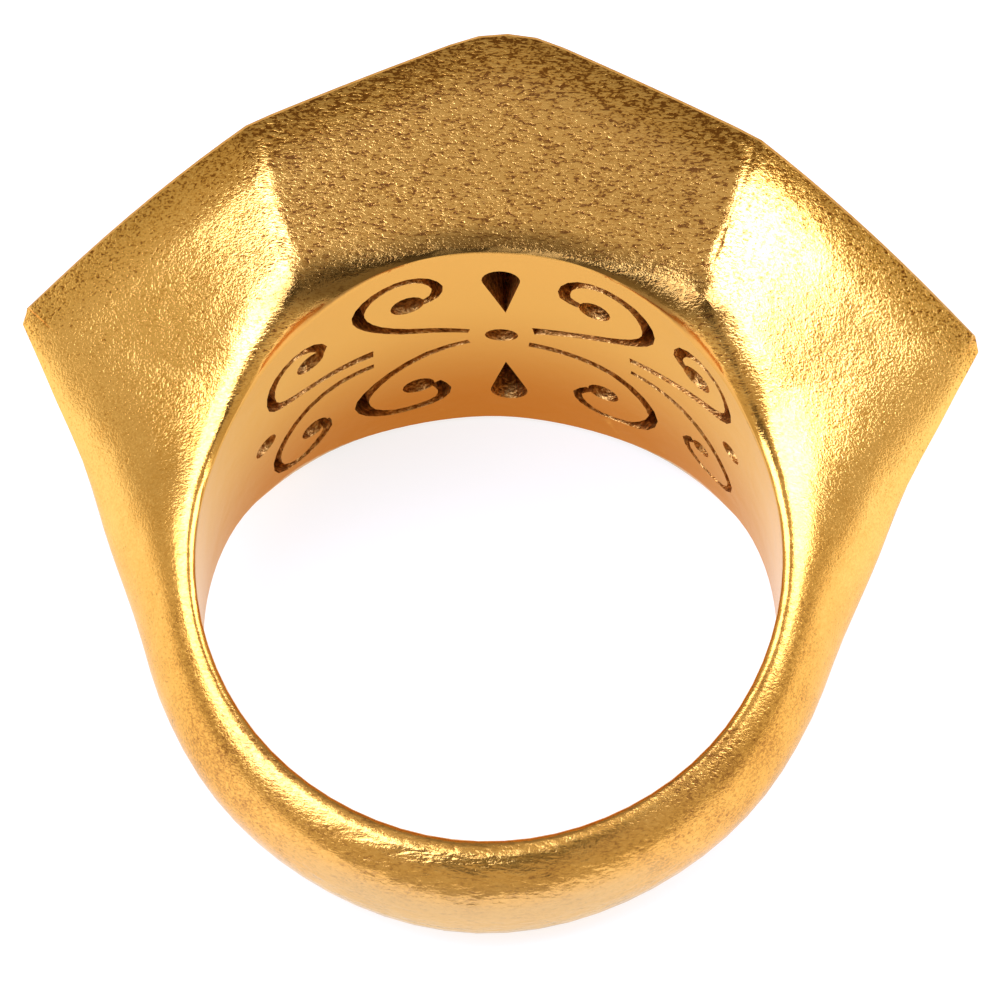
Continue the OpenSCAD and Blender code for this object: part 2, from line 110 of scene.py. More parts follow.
# Ring body: one gold casting, satin outside and polished inside the finger hole. The
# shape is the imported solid's, with its corners shared, its curved faces smooth and a
# material for each kind of surface.
WELD = 0.0005 * MM
BORE_SLACK = 0.02 * MM
FACE_LIFT = 0.01 * MM
LIP_FACING = 0.3
LIP_HEIGHT = 8 * MM
SCROLL_BREAK = 0.07 * MM
SCROLL_BREAK_STEPS = 2
SMOOTH_ANGLE = radians(26)
SATIN, INNER, LIP = range(3)


def copy_of_node(node, name):
    """A bare piece with a CAD node's shape, and its mesh with the corners shared."""
    piece = bpy.data.objects.new(name, frame["nodes"][node].data.copy())
    bpy.context.scene.collection.objects.link(piece)
    piece.data.materials.clear()
    flat_normals = piece.data.attributes.get("custom_normal")
    if flat_normals:
        piece.data.attributes.remove(flat_normals)
    mesh = bmesh.new()
    mesh.from_mesh(piece.data)
    bmesh.ops.remove_doubles(mesh, verts=mesh.verts, dist=WELD)
    return piece, mesh


def from_hole(point):
    """Distance from the finger hole's axis."""
    offset = point - HOLE_MIDDLE
    return (offset - offset.dot(NEAR_WAY) * NEAR_WAY).length


def above_hole(point):
    """Height over the finger hole's middle, towards the head."""
    return (point - HOLE_MIDDLE).dot(HEAD_WAY)


def is_bore(face):
    return max(from_hole(v.co) for v in face.verts) < HOLE_R + BORE_SLACK


body, mesh = copy_of_node("ring_body", "gold_body")
mesh.faces.index_update()
mesh.normal_update()
# The satin finish needs the roof's ridge and slope, so they are measured here.
ridge_height = max(above_hole(v.co) for v in mesh.verts)
corner = max((v.co for v in mesh.verts), key=lambda place: place.x)
roof_slope = (ridge_height - above_hole(corner)) / (corner.x - HOLE_MIDDLE.x)

solid = BVHTree.FromBMesh(mesh)
for face in mesh.faces:
    face.smooth = True
    middle = face.calc_center_median()
    metal_ahead = solid.ray_cast(middle + FACE_LIFT * face.normal, face.normal)[0]
    if not is_bore(face) and metal_ahead is not None:
        face.material_index = INNER
    elif face.normal.dot(HEAD_WAY) > LIP_FACING and above_hole(middle) > LIP_HEIGHT:
        face.material_index = LIP
# The saw's edges round the scrolls are rubbed soft.
scroll_edges = [
    edge for edge in mesh.edges
    if sum(face.material_index == INNER for face in edge.link_faces) == 1
    and any(is_bore(face) for face in edge.link_faces)
]
bmesh.ops.bevel(
    mesh, geom=scroll_edges, offset=SCROLL_BREAK, affect="EDGES", segments=SCROLL_BREAK_STEPS,
    profile=0.5, material=-1, clamp_overlap=True,
)
for edge in mesh.edges:
    edge.smooth = edge.calc_face_angle(pi) < SMOOTH_ANGLE
bore_faces = {face.index for face in mesh.faces if is_bore(face)}
mesh.to_mesh(body.data)
mesh.free()

# Large faces rule the shading, and the bore's points straight at its axis.
weighting = body.modifiers.new("face_weights", "WEIGHTED_NORMAL")
weighting.keep_sharp = True
bpy.context.view_layer.update()
weighted = body.evaluated_get(bpy.context.evaluated_depsgraph_get()).data
normals = [Vector(normal.vector) for normal in weighted.corner_normals]
body.modifiers.clear()
for index in bore_faces:
    for loop in body.data.polygons[index].loop_indices:
        offset = body.data.vertices[body.data.loops[loop].vertex_index].co - HOLE_MIDDLE
        normals[loop] = (offset.dot(NEAR_WAY) * NEAR_WAY - offset).normalized()
body.data.normals_split_custom_set(normals)


class Finish:
    """A material or a light of the room, and short ways to hang nodes on it."""

    def __init__(self, owner, shader="Principled BSDF", coordinates="Object"):
        owner.use_nodes = True
        self.owner = owner
        self.nodes = owner.node_tree.nodes
        self.links = owner.node_tree.links
        self.shader = self.nodes[shader]
        self.place = self.nodes.new("ShaderNodeTexCoord").outputs[coordinates]

    def feed(self, socket, value):
        """Links a socket's value in, or sets it. A colour may leave out its alpha."""
        if isinstance(value, bpy.types.NodeSocket):
            self.links.new(value, socket)
        elif socket.type == "RGBA":
            socket.default_value = (*value[:3], 1)
        else:
            socket.default_value = value

    def node(self, kind, inputs, **settings):
        made = self.nodes.new("ShaderNode" + kind)
        for name, value in settings.items():
            setattr(made, name, value)
        for name, value in inputs.items():
            self.feed(made.inputs[name], value)
        return made

    def math(self, operation, a, b=0.0):
        return self.node("Math", {0: a, 1: b}, operation=operation).outputs[0]

    def plus(self, a, b):
        return self.math("ADD", a, b)

    def minus(self, a, b):
        return self.math("SUBTRACT", a, b)

    def times(self, a, b):
        return self.math("MULTIPLY", a, b)

    def square(self, a):
        return self.math("POWER", a, 2.0)

    def hypotenuse(self, a, b):
        """The slant over two legs. The second may be a plain length."""
        b_square = b ** 2 if isinstance(b, float) else self.square(b)
        return self.math("SQRT", self.plus(self.square(a), b_square))

    def nearness(self, distance, reach):
        """1 at no distance, and 0 from the reach on."""
        return self.math("MAXIMUM", self.minus(1.0, self.math("DIVIDE", distance, reach)), 0.0)

    def noise(self, grain, place=None, detail=2.0, roughness=0.5, twist=0.0):
        return self.node("TexNoise", {
            "Vector": place or self.place, "Scale": 1 / grain, "Detail": detail,
            "Roughness": roughness, "Distortion": twist,
        }).outputs["Fac"]

    def fade(self, value, start, end, before=0.0, after=1.0):
        return self.node("MapRange", {
            "Value": value, "From Min": start, "From Max": end, "To Min": before, "To Max": after,
        }, interpolation_type="SMOOTHSTEP").outputs["Result"]

    def ramp(self, factor, *stops):
        made = self.node("ValToRGB", {"Fac": factor})
        elements = made.color_ramp.elements
        while len(elements) < len(stops):
            elements.new(0.5)
        for element, (place, colour) in zip(elements, stops):
            element.position = place
            element.color = (*colour, 1)
        return made.outputs["Color"]

    def mix(self, share, a, b):
        return self.node("Mix", {0: share, 6: a, 7: b}, data_type="RGBA").outputs[2]

    def bump(self, height, distance, under=None):
        inputs = {"Height": height, "Distance": distance, "Strength": 1.0}
        if under:
            inputs["Normal"] = under
        return self.node("Bump", inputs).outputs["Normal"]

    def set(self, **values):
        for name, value in values.items():
            self.feed(self.shader.inputs[name.replace("_", " ")], value)


# Satin gold is brushed with a fine wire wheel: short flecks that catch the light, on
# soft dents left by the file. It is burnished smooth round the finger hole. A fade is
# told by where it starts, where it ends, and its value before and after.
satin = Finish(bpy.data.materials.new("satin_gold"))
ring_place = satin.node("Mapping", {
    "Vector": satin.place,
    "Location": HOLE_MIDDLE,
    "Rotation": (atan2(-NEAR_WAY.z, -NEAR_WAY.y), 0, 0),
}, vector_type="TEXTURE").outputs[0]
across, along, headward = satin.node("SeparateXYZ", {0: ring_place}).outputs
aside = satin.math("ABSOLUTE", across)
radius = satin.hypotenuse(across, headward)

# The polish of the hole ends in a ragged line round its rim.
RIM_RAG = 0.8 * MM
RIM_RAG_REACH = 0.35 * MM
POLISH_END = (HOLE_R - 0.12 * MM, HOLE_R + 0.04 * MM)
BORE_END = (HOLE_R + 0.01 * MM, HOLE_R + 0.05 * MM)
ragged_radius = satin.minus(radius, satin.times(satin.noise(RIM_RAG, detail=3.0), RIM_RAG_REACH))
rough_share = satin.fade(ragged_radius, *POLISH_END)
past_bore = satin.fade(radius, *BORE_END)

# Flecks and short strokes of the wheel, shallower on the sides and the shank's foot.
FLECK = 0.095 * MM
FLECK_TWIST = 1.0
FLECK_HEIGHT = 0.6
STROKE = 0.075 * MM
STROKE_TWIST = 0.8
STROKE_DRAWN_OUT = 0.35
STROKE_TILT = radians(4)
GRAIN_HEADWARD = (-4 * MM, 6 * MM, 1.4, 1.25)
GRAIN_FRONT_TO_SIDE = (6.3 * MM, 8 * MM, 1.0, 0.6)
GRAIN_TO_CORNER = (9.5 * MM, 12 * MM, 0.0, 0.3)
GRAIN_ON_FOOT = (-9 * MM, -5 * MM, 0.6, 1.0)
fleck = satin.noise(FLECK, twist=FLECK_TWIST)
stroke_place = satin.node("Mapping", {
    "Vector": ring_place, "Scale": (STROKE_DRAWN_OUT, 1, 1), "Rotation": (0, STROKE_TILT, 0),
}).outputs[0]
stroke = satin.noise(STROKE, stroke_place, twist=STROKE_TWIST)
on_side = satin.plus(satin.fade(aside, *GRAIN_FRONT_TO_SIDE), satin.fade(aside, *GRAIN_TO_CORNER))
grain_share = satin.times(on_side, satin.fade(headward, *GRAIN_ON_FOOT))
grain_depth = satin.times(satin.fade(headward, *GRAIN_HEADWARD), grain_share)
grain = satin.plus(satin.times(fleck, FLECK_HEIGHT), stroke)
grain = satin.times(grain, satin.times(rough_share, grain_depth))

# The facets roll off a little towards the roof's edge.
ROOF_ROLL = 1.7 * MM
ROOF_DROP = -0.14 * MM
RIDGE_BLUNT = 1.0 * MM
roof_fall = satin.times(satin.hypotenuse(across, RIDGE_BLUNT), roof_slope)
below_roof = satin.minus(ridge_height, satin.plus(headward, roof_fall))
near_roof = satin.nearness(below_roof, ROOF_ROLL)

# So they do at the crease between the front and the side, but not close to the hole.
CREASE_ASIDE = 3.85 * MM
CREASE_LEAN = 0.289
CREASE_BLUNT = 0.045 * MM
CREASE_ROLL = 0.35 * MM
CREASE_DROP = (8.1 * MM, 8.9 * MM, 0.0, -0.045 * MM)
crease_aside = satin.plus(CREASE_ASIDE, satin.times(headward, CREASE_LEAN))
from_crease = satin.hypotenuse(satin.minus(aside, crease_aside), CREASE_BLUNT)
near_crease = satin.nearness(from_crease, CREASE_ROLL)

# Slack file work leaves waves along the foot of the shank, and dents everywhere.
WAVE = 0.40 * MM
WAVE_TWIST = 0.2
WAVE_DRAWN_OUT = 0.4
WAVE_DEPTH = 0.07 * MM
WAVE_ON_FOOT = (-9.5 * MM, -7.5 * MM, 1.0, 0.0)
DENT = 1.6 * MM
DENT_DEPTH = 0.03 * MM
GRAIN_DEPTH = 0.010 * MM
IN_METRES = 1.0
wave_place = satin.node("Mapping", {"Vector": ring_place, "Scale": (WAVE_DRAWN_OUT, 1, 1)}).outputs[0]
wave = satin.times(satin.noise(WAVE, wave_place, twist=WAVE_TWIST), satin.fade(headward, *WAVE_ON_FOOT))
rolled = satin.bump(satin.plus(
    satin.times(satin.square(near_roof), ROOF_DROP),
    satin.times(satin.square(near_crease), satin.fade(headward, *CREASE_DROP)),
), IN_METRES)
waved = satin.bump(wave, WAVE_DEPTH, rolled)
dented = satin.bump(satin.noise(DENT, detail=3.0), DENT_DEPTH, waved)
grained = satin.bump(grain, GRAIN_DEPTH, dented)

# Deep gold is painted in the pits and pale gold on the flecks, a painted shade and painted glint on the
# grain, and both drift in a mottle.
GOLD_DEEP_AND_SHADED = (0.32, 0.11, 0.01)
GOLD = (0.85, 0.41, 0.065)
GOLD_PALE_AND_LIT = (1.0, 0.54, 0.115)
FLECK_TONE = 0.3
STROKE_TONE = 0.7
MIDDLE_TONE = 0.41
TONE_SPREAD = (2 * MM, 10 * MM, 0.8, 2.5)
MOTTLE = 1.1 * MM
MOTTLE_TONE = 0.18
ROOF_PAINTED_SHADE = 0.14
SIDE_PAINTED_LIGHT = (7 * MM, 12 * MM, 0.0, 0.13)
SHANK_PAINTED_SHADE = (-2 * MM, 4 * MM, -0.06, 0.0)
FOOT_PAINTED_LIGHT = (-9 * MM, -5 * MM, 0.06, 0.0)
HEAD_PAINTED_LIGHT = (4 * MM, 7 * MM, 0.0, 0.10)
tone_and_shading = satin.plus(satin.times(fleck, FLECK_TONE), satin.times(stroke, STROKE_TONE))
tone_spread = satin.times(satin.fade(headward, *TONE_SPREAD), grain_share)
tone_and_shading = satin.plus(satin.times(satin.minus(tone_and_shading, 0.5), tone_spread), MIDDLE_TONE)
tone_and_shading = satin.plus(tone_and_shading, satin.times(satin.noise(MOTTLE, detail=3.0), MOTTLE_TONE))
# Painted shade: the gold is darker towards the roof's edge, where the facets roll off.
tone_and_shading = satin.minus(tone_and_shading, satin.times(near_roof, ROOF_PAINTED_SHADE))
# Painted light and shade: the gold is paler towards the sides and on the head, darker on the shank, and
# paler again at its foot.
tone_and_shading = satin.plus(tone_and_shading, satin.fade(aside, *SIDE_PAINTED_LIGHT))
for stretch in (SHANK_PAINTED_SHADE, FOOT_PAINTED_LIGHT, HEAD_PAINTED_LIGHT):
    tone_and_shading = satin.plus(tone_and_shading, satin.fade(headward, *stretch))
satin_gold = satin.ramp(tone_and_shading, (0.34, GOLD_DEEP_AND_SHADED), (0.49, GOLD), (0.66, GOLD_PALE_AND_LIT))

# The middle of the foot is paler and greyer. The hole is painted redder and darker the deeper it goes,
# a painted shade for the shadowed table that it reflects there.
GOLD_GREYED = (0.60, 0.41, 0.19)
GREYED_ON_FOOT = (-10 * MM, -7.5 * MM, 1.0, 0.0)
GREYED_ALONG = (0.7 * MM, 1.7 * MM, 0.7, 0.0)
GOLD_BORE = (0.78, 0.40, 0.085)
GOLD_BORE_PAINTED_SHADE = (0.52, 0.15, 0.010)
BORE_SHADE_DEPTH = (-2.5 * MM, 4.5 * MM)
along_greyed = satin.fade(satin.math("ABSOLUTE", along), *GREYED_ALONG)
greyed = satin.times(satin.fade(headward, *GREYED_ON_FOOT), along_greyed)
shaded_bore_gold = satin.mix(satin.fade(along, *BORE_SHADE_DEPTH), GOLD_BORE, GOLD_BORE_PAINTED_SHADE)

# Painted shade darkens the front round the hole, with a ragged edge: a painted dark reflection of the
# lens and the dim room.
GOLD_PAINTED_DARK = (0.16, 0.075, 0.015)
PAINTED_DARK_RAG = 0.16 * MM
PAINTED_DARK_RAG_REACH = 0.5 * MM
PAINTED_DARK_INNER_R = (3 * MM, 6 * MM, HOLE_R, HOLE_R + 0.5 * MM)
PAINTED_DARK_REACH = (-0.10 * MM, 1.0 * MM, 1.0, 0.0)
PAINTED_DARK_HEADWARD = (6.0 * MM, 7.3 * MM)
PAINTED_DARK_SHARE = 0.85
painted_dark_rag = satin.times(satin.noise(PAINTED_DARK_RAG, detail=3.0), PAINTED_DARK_RAG_REACH)
past_painted_dark = satin.minus(radius, satin.plus(painted_dark_rag, satin.fade(aside, *PAINTED_DARK_INNER_R)))
painted_dark = satin.times(satin.fade(past_painted_dark, *PAINTED_DARK_REACH), satin.fade(headward, *PAINTED_DARK_HEADWARD))
painted_dark = satin.times(painted_dark, satin.times(past_bore, PAINTED_DARK_SHARE))

# The wheel leaves a sharper gloss on the head and the foot than between them, and a
# thin skin of burnished metal lies over the grain, less so near the roof and aside.
GRAZING_TINT = (1.0, 0.90, 0.66)
BORE_ROUGHNESS = 0.22
HEAD_ROUGHNESS = (-2 * MM, 5 * MM, 0.24, 0.12)
FOOT_ROUGHNESS = (-10 * MM, -7 * MM, 0.17, 0.24)
SKIN_AT_ROOF = (0.2, 0.8, 0.5, 0.1)
SKIN_ASIDE = (6 * MM, 8.5 * MM, 1.0, 0.35)
satin_roughness = satin.math(
    "MINIMUM", satin.fade(headward, *HEAD_ROUGHNESS), satin.fade(headward, *FOOT_ROUGHNESS),
)
skin = satin.times(satin.fade(near_roof, *SKIN_AT_ROOF), satin.minus(1.0, painted_dark))
skin = satin.times(skin, satin.fade(aside, *SKIN_ASIDE))
satin.set(
    Base_Color=satin.mix(painted_dark, satin.mix(
        rough_share,
        satin.mix(past_bore, shaded_bore_gold, GOLD),
        satin.mix(greyed, satin_gold, GOLD_GREYED),
    ), GOLD_PAINTED_DARK),
    Metallic=1.0,
    Specular_Tint=GRAZING_TINT,
    Roughness=satin.fade(rough_share, 0, 1, BORE_ROUGHNESS, satin_roughness),
    Normal=grained,
    Coat_Weight=satin.times(past_bore, skin),
    Coat_Normal=grained,
    Coat_Roughness=0.15,
    Coat_IOR=1.5,
)

# The hollow and the sawn edges keep the rough skin of the casting, with painted shade darkening them as
# shade falls in the cuts.
CAST_GRAIN = 0.14 * MM
CAST_DEPTH = 0.05 * MM
cast = Finish(bpy.data.materials.new("cast_gold"))
cast_grain = cast.noise(CAST_GRAIN, detail=3.0)
cast.set(
    Base_Color=cast.ramp(cast_grain, (0.35, (0.38, 0.15, 0.025)), (0.65, (0.84, 0.47, 0.13))),
    Metallic=1.0,
    Roughness=0.42,
    Normal=cast.bump(cast_grain, CAST_DEPTH),
)

# The lip round the mosaic is burnished after the stones are in.
LIP_WEAR = 0.25 * MM
LIP_WEAR_DEPTH = 0.02 * MM
# The lip's grazing tint is dimmed: a painted shade over its reflection of the room.
LIP_DIMMED_TINT = (0.75, 0.60, 0.40)
lip = Finish(bpy.data.materials.new("burnished_gold"))
lip_wear = lip.noise(LIP_WEAR, detail=3.0)
lip.set(
    Base_Color=lip.ramp(lip_wear, (0.3, (0.60, 0.29, 0.07)), (0.7, (0.82, 0.45, 0.14))),
    Metallic=1.0,
    Specular_Tint=LIP_DIMMED_TINT,
    Roughness=0.32,
    Normal=lip.bump(lip_wear, LIP_WEAR_DEPTH),
)
for finish in (satin, cast, lip):
    body.data.materials.append(finish.owner)
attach(body, "root")
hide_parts("ring_body")

# Mosaic bed: grey mortar, pressed into the recess of the head. It shows in the joints
# between the stones and round the mosaic's edge.
MORTAR_GRIT = 0.12 * MM
MORTAR_DEPTH = 0.04 * MM
OVER_HEAD = 30 * MM
mortar = Finish(bpy.data.materials.new("mosaic_mortar"))
mortar_grit = mortar.noise(MORTAR_GRIT, detail=4.0, roughness=0.7)
mortar.set(
    Base_Color=mortar.ramp(mortar_grit, (0.3, (0.17, 0.15, 0.12)), (0.7, (0.42, 0.38, 0.31))),
    Roughness=0.9,
    Normal=mortar.bump(mortar_grit, MORTAR_DEPTH),
)
bed = frame["nodes"]["mosaic_bed"]
bed.material_slots[0].material = mortar.owner
bed_mesh = bmesh.new()
bed_mesh.from_mesh(bed.data)
bed_top = BVHTree.FromBMesh(bed_mesh)
bed_mesh.free()


def plan_way(x, y):
    """A way in the plan of the head, as seen from above it: x across, y to the far side."""
    return x * SIDE_WAY - y * NEAR_WAY


def on_bed(x, y):
    """Point of the bed's top and the way out of it, at a place of the plan."""
    high = HOLE_MIDDLE + plan_way(x, y) + OVER_HEAD * HEAD_WAY
    point, normal, _, _ = bed_top.ray_cast(high, -HEAD_WAY)
    return point, normal


# Ground of the mosaic: small blocks of turquoise glass, snapped from drawn rods and set
# in courses that follow the head's outline. A ring of blocks turns round the rosette.
TESSERA_T = 0.5 * MM
TESSERA_LIFT = 0.04 * MM
TESSERA_BREAK = 0.028 * MM
UPPER_FACING = 0.7
TESSERA_LEAN = radians(0.9)
TESSERA_TURN = radians(1.6)
JOINT = 0.055 * MM
COURSES = 9
RUN_STEPS = 24
SLANT_SWELL = 0.4 * MM
SIDE_SLACK = 0.01 * MM
TIP_BLOCK = 1.08
EYE_PITCHES = 1.1
ROSETTE_R = 2.7 * MM
ROSETTE_JOINT = 0.12 * MM
ROUND_BLOCKS = 42
PETALS = 8
# Between the petals: row radius, blocks in the row, block breadth and block depth, in mm.
BETWEEN_PETALS = ((2.50, 3, 0.40, 0.33), (2.14, 1, 0.50, 0.34), (1.80, 1, 0.22, 0.26))
# Blocks by the ring are cut down over this reach, in pitches, and the smallest left out.
CUT_START = 0.55
CUT_REACH = 0.6
SMALLEST_CUT = 0.4
# Shades, from deep turquoise at 0 to ivory at 1.
DEEP_SHADES = (0.0, 0.3)
TURQUOISE_SHADES = (0.0, 0.8)
EYE_SHADE = 0.7
IVORY_SHADES = (0.92, 1.0)
SETTER = random.Random(11)

field_places = [v.co - HOLE_MIDDLE for v in frame["nodes"]["mosaic_field"].data.vertices]
field_depth = max(-place.dot(NEAR_WAY) for place in field_places)
field_tip = max(place.x for place in field_places)
field_bend = max(
    place.x for place in field_places if -place.dot(NEAR_WAY) > field_depth - SIDE_SLACK
)
pitch = field_depth / COURSES
swell_slope = 4 * SLANT_SWELL
tip_half = atan2(field_depth + swell_slope, field_tip - field_bend)
bend_half = atan2(field_depth - swell_slope, field_tip - field_bend) / 2
round_r = ROSETTE_R + ROSETTE_JOINT + pitch / 2
ground_inner_r = round_r + CUT_START * pitch


def set_block(mesh, x, y, along, length, width, shade):
    """Stands one glass block on the bed, a little askew."""
    foot, normal = on_bed(x, y)
    sideways = normal.cross(along).normalized()
    forward = sideways.cross(normal)
    lean = Matrix.Rotation(SETTER.gauss(0, TESSERA_LEAN), 4, forward)
    turn = Matrix.Rotation(SETTER.gauss(0, TESSERA_TURN), 4, normal)
    centre = foot + (TESSERA_LIFT + TESSERA_T / 2) * normal
    axes = Matrix((
        (forward.x * length, sideways.x * width, normal.x * TESSERA_T, 0),
        (forward.y * length, sideways.y * width, normal.y * TESSERA_T, 0),
        (forward.z * length, sideways.z * width, normal.z * TESSERA_T, 0),
        (0, 0, 0, 1),
    ))
    place = Matrix.Translation(centre) @ lean @ turn @ axes
    corners = bmesh.ops.create_cube(mesh, size=1, matrix=place)["verts"]
    shade_layer = mesh.faces.layers.float["shade"]
    for face in {f for v in corners for f in v.link_faces}:
        face[shade_layer] = shade


def break_upper_edges(mesh):
    """Breaks the upper edges of all blocks, as grinding the finished mosaic does."""
    mesh.normal_update()
    upper = [face for face in mesh.faces if face.normal.dot(HEAD_WAY) > UPPER_FACING]
    bmesh.ops.bevel(
        mesh, geom=[edge for face in upper for edge in face.edges], offset=TESSERA_BREAK,
        affect="EDGES", segments=1, profile=0.5, material=-1,
    )


def course_runs(inset):
    """The six runs of a course, each as a list of places in the plan."""
    end = field_tip - inset / sin(tip_half)
    start = field_bend - inset * tan(bend_half)
    depth = field_depth - inset
    slant = []
    for step in range(RUN_STEPS + 1):
        t = 1 - step / RUN_STEPS
        slant.append((end - t * (end - start), depth * t + swell_slope * t * (1 - t)))
    level = [(start * (2 * step / RUN_STEPS - 1), depth) for step in range(RUN_STEPS + 1)]
    upper = [level, slant, [(x, -y) for x, y in reversed(slant)]]
    return upper + [[(-x, -y) for x, y in run] for run in upper]


def course_shade(course):
    return SETTER.uniform(*(IVORY_SHADES if course == 0 else TURQUOISE_SHADES))


def set_run(mesh, run, cut, course):
    """Sets blocks at an even pitch along one run, from a cut on, and clear of the rosette."""
    places = [on_bed(x, y)[0] for x, y in run]
    marks = [0.0]
    for before, after in zip(places, places[1:]):
        marks.append(marks[-1] + (after - before).length)
    span = marks[-1] - cut
    count = max(1, round(span / pitch))
    for i in range(count):
        mark = cut + (i + 0.5) * span / count
        k = max(n for n in range(RUN_STEPS) if marks[n] <= mark)
        share = (mark - marks[k]) / (marks[k + 1] - marks[k])
        x, y = (a + share * (b - a) for a, b in zip(run[k], run[k + 1]))
        clear = (hypot(x, y) - ground_inner_r) / (CUT_REACH * pitch)
        if clear < SMALLEST_CUT:
            continue
        size = min(1.0, clear)
        length = (span / count - JOINT) * size
        width = (pitch - JOINT) * size
        set_block(mesh, x, y, places[k + 1] - places[k], length, width, course_shade(course))


def piece_of(mesh, name):
    """Makes a piece of a finished mesh."""
    data = bpy.data.meshes.new(name)
    mesh.to_mesh(data)
    mesh.free()
    piece = bpy.data.objects.new(name, data)
    bpy.context.scene.collection.objects.link(piece)
    return piece


mesh = bmesh.new()
mesh.faces.layers.float.new("shade")
for course in range(COURSES):
    inset = (course + 0.5) * pitch
    for number, run in enumerate(course_runs(inset)):
        at_tip = number % 3 == 2
        set_run(mesh, run, pitch / 2 / tan(tip_half) if at_tip else 0, course)
    for side in (-1, 1):
        size = TIP_BLOCK * pitch - JOINT
        tip_x = side * (field_tip - inset / sin(tip_half))
        set_block(mesh, tip_x, 0, plan_way(1, 1), size, size, course_shade(course))
# One block fills the eye that each end's innermost course leaves.
for side in (-1, 1):
    size = pitch - JOINT
    eye_x = side * (field_tip - inset / sin(tip_half) - EYE_PITCHES * pitch)
    set_block(mesh, eye_x, 0, SIDE_WAY, size, size, EYE_SHADE)
for i in range(ROUND_BLOCKS):
    a = tau * i / ROUND_BLOCKS
    length = tau * round_r / ROUND_BLOCKS - JOINT
    shade = SETTER.uniform(*TURQUOISE_SHADES)
    around = plan_way(-sin(a), cos(a))
    set_block(mesh, round_r * cos(a), round_r * sin(a), around, length, pitch - JOINT, shade)
for i in range(PETALS):
    for row_r, count, breadth, depth in BETWEEN_PETALS:
        for j in range(count):
            a = tau * (i + 0.5) / PETALS + (j - (count - 1) / 2) * breadth / row_r
            x = row_r * MM * cos(a)
            y = row_r * MM * sin(a)
            shade = SETTER.uniform(*DEEP_SHADES)
            around = plan_way(-sin(a), cos(a))
            set_block(mesh, x, y, around, breadth * MM - JOINT, depth * MM - JOINT, shade)
break_upper_edges(mesh)
ground = piece_of(mesh, "mosaic_ground")

GLASS_STREAK = 0.3 * MM
GLASS_STREAK_DEPTH = 0.008 * MM
GLASS_ROUGHNESS = 0.2
GROUND_ROUGHNESS = (0.3, 0.7, 0.16, 0.30)


def block_glass(name, *stops):
    """Opaque glass that takes each block's own shade, faintly streaked from the rod."""
    glass = Finish(bpy.data.materials.new(name))
    shade = glass.node("Attribute", {}, attribute_name="shade").outputs["Fac"]
    glass.set(
        Base_Color=glass.ramp(shade, *stops),
        Roughness=GLASS_ROUGHNESS,
        Normal=glass.bump(glass.noise(GLASS_STREAK, detail=3.0), GLASS_STREAK_DEPTH),
    )
    return glass


turquoise = block_glass(
    "turquoise_glass",
    (0.0, (0.012, 0.12, 0.15)), (0.3, (0.03, 0.24, 0.26)), (0.6, (0.05, 0.33, 0.33)),
    (0.8, (0.11, 0.45, 0.40)), (0.91, (0.80, 0.72, 0.52)), (1.0, (0.90, 0.85, 0.68)),
)
streaks = turquoise.noise(GLASS_STREAK, detail=3.0)
turquoise.set(Roughness=turquoise.fade(streaks, *GROUND_ROUGHNESS))
ground.data.materials.append(turquoise.owner)
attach(ground, "root")
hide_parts("mosaic_field")

# Border of the mosaic: one course of larger lapis blocks along the lip, with a kite at
# each end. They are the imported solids, with their edges broken.
BORDER_BREAK = 0.04 * MM
FLAT_ANGLE = radians(2)

border, mesh = copy_of_node("mosaic_border", "mosaic_edge")
bmesh.ops.dissolve_limit(mesh, angle_limit=FLAT_ANGLE, verts=mesh.verts, edges=mesh.edges)
bmesh.ops.bevel(
    mesh, geom=mesh.edges[:], offset=BORDER_BREAK, affect="EDGES", segments=1,
    profile=0.5, material=-1,
)
# Faces that share edges belong to one block, and every block has one shade.
shade_layer = mesh.faces.layers.float.new("shade")
shaded = set()
for first in mesh.faces:
    if first in shaded:
        continue
    shade = SETTER.random()
    shaded.add(first)
    block_faces = [first]
    for face in block_faces:
        face[shade_layer] = shade
        near = dict.fromkeys(f for e in face.edges for f in e.link_faces if f not in shaded)
        shaded.update(near)
        block_faces += near
mesh.to_mesh(border.data)
mesh.free()

lapis = block_glass(
    "lapis_glass",
    (0.0, (0.010, 0.022, 0.12)), (0.5, (0.02, 0.05, 0.24)), (1.0, (0.04, 0.10, 0.38)),
)
border.data.materials.append(lapis.owner)
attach(border, "root")
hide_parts("mosaic_border")

# Rosette: eight ivory petals with a red vein round a small red and gold middle, each
# petal set from rows of blocks.
MIDDLE_BLOCK = 0.36 * MM
BEAD_R = 0.42 * MM
BEAD_LENGTH = 0.25 * MM
BEAD_WIDTH = 0.30 * MM
# Rows of a petal, outwards: radius and half breadth in mm, and blocks in the row.
PETAL_ROWS = ((1.02, 0.26, 1), (1.39, 0.46, 3), (1.76, 0.55, 3), (2.13, 0.50, 3), (2.48, 0.30, 1))
ROW_PITCH = 0.37 * MM
VEIN_END = 2.0
RED, AMBER, IVORY = 0.1, 0.5, 0.9
SHADE_SPREAD = 0.08

